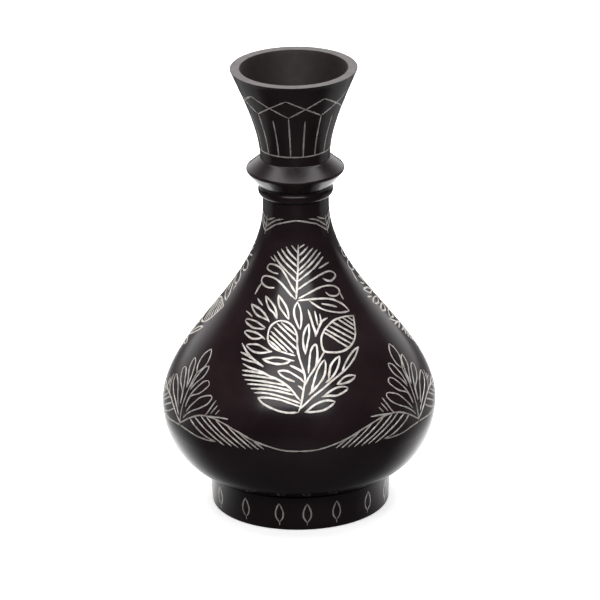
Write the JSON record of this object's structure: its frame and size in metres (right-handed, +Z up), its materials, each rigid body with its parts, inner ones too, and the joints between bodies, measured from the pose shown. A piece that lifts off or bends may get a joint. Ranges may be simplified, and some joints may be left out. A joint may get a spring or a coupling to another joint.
{
  "type": "black clay vase",
  "caption": "Round-bellied black clay vase on a foot ring, with a beaded and collared neck, a flared mouth and silver-filled line ornament.",
  "frame": {"origin": "centre of the foot's underside", "axes": "+Z up along the vase's axis, -Y towards the front medallion"},
  "size_m": [0.1196, 0.1202, 0.2],
  "materials": {
    "burnished_clay": "burnished satin",
    "silver_fill": "rubbed satin"
  },
  "bodies": {
    "root": {"foot_ring": "burnished_clay", "belly_bowl": "burnished_clay", "shoulder": "burnished_clay", "neck": "burnished_clay", "neck_bead": "burnished_clay", "collar": "burnished_clay", "mouth": "burnished_clay", "belly_garland": "silver_fill", "foot_petal_1": "silver_fill", "foot_petal_2": "silver_fill", "foot_petal_3": "silver_fill", "foot_petal_4": "silver_fill", "foot_petal_5": "silver_fill", "foot_petal_6": "silver_fill", "foot_petal_7": "silver_fill", "foot_petal_8": "silver_fill", "foot_petal_9": "silver_fill", "foot_petal_10": "silver_fill", "foot_petal_11": "silver_fill", "foot_petal_12": "silver_fill", "foot_petal_13": "silver_fill", "foot_petal_14": "silver_fill", "foot_petal_15": "silver_fill", "foot_petal_16": "silver_fill", "medallion_1_crest": "silver_fill", "medallion_1_leaf_1": "silver_fill", "medallion_1_leaf_2": "silver_fill", "medallion_1_leaf_3": "silver_fill", "medallion_1_leaf_4": "silver_fill", "medallion_1_stem": "silver_fill", "medallion_2_crest": "silver_fill", "medallion_2_leaf_1": "silver_fill", "medallion_2_leaf_2": "silver_fill", "medallion_2_leaf_3": "silver_fill", "medallion_2_leaf_4": "silver_fill", "medallion_2_stem": "silver_fill", "medallion_3_crest": "silver_fill", "medallion_3_leaf_1": "silver_fill", "medallion_3_leaf_2": "silver_fill", "medallion_3_leaf_3": "silver_fill", "medallion_3_leaf_4": "silver_fill", "medallion_3_stem": "silver_fill", "mouth_lattice": "silver_fill", "neck_band": "silver_fill", "spray_1_left_leaf": "silver_fill", "spray_1_right_leaf": "silver_fill", "spray_2_left_leaf": "silver_fill", "spray_2_right_leaf": "silver_fill", "spray_3_left_leaf": "silver_fill", "spray_3_right_leaf": "silver_fill"}
  },
  "joints": []
}
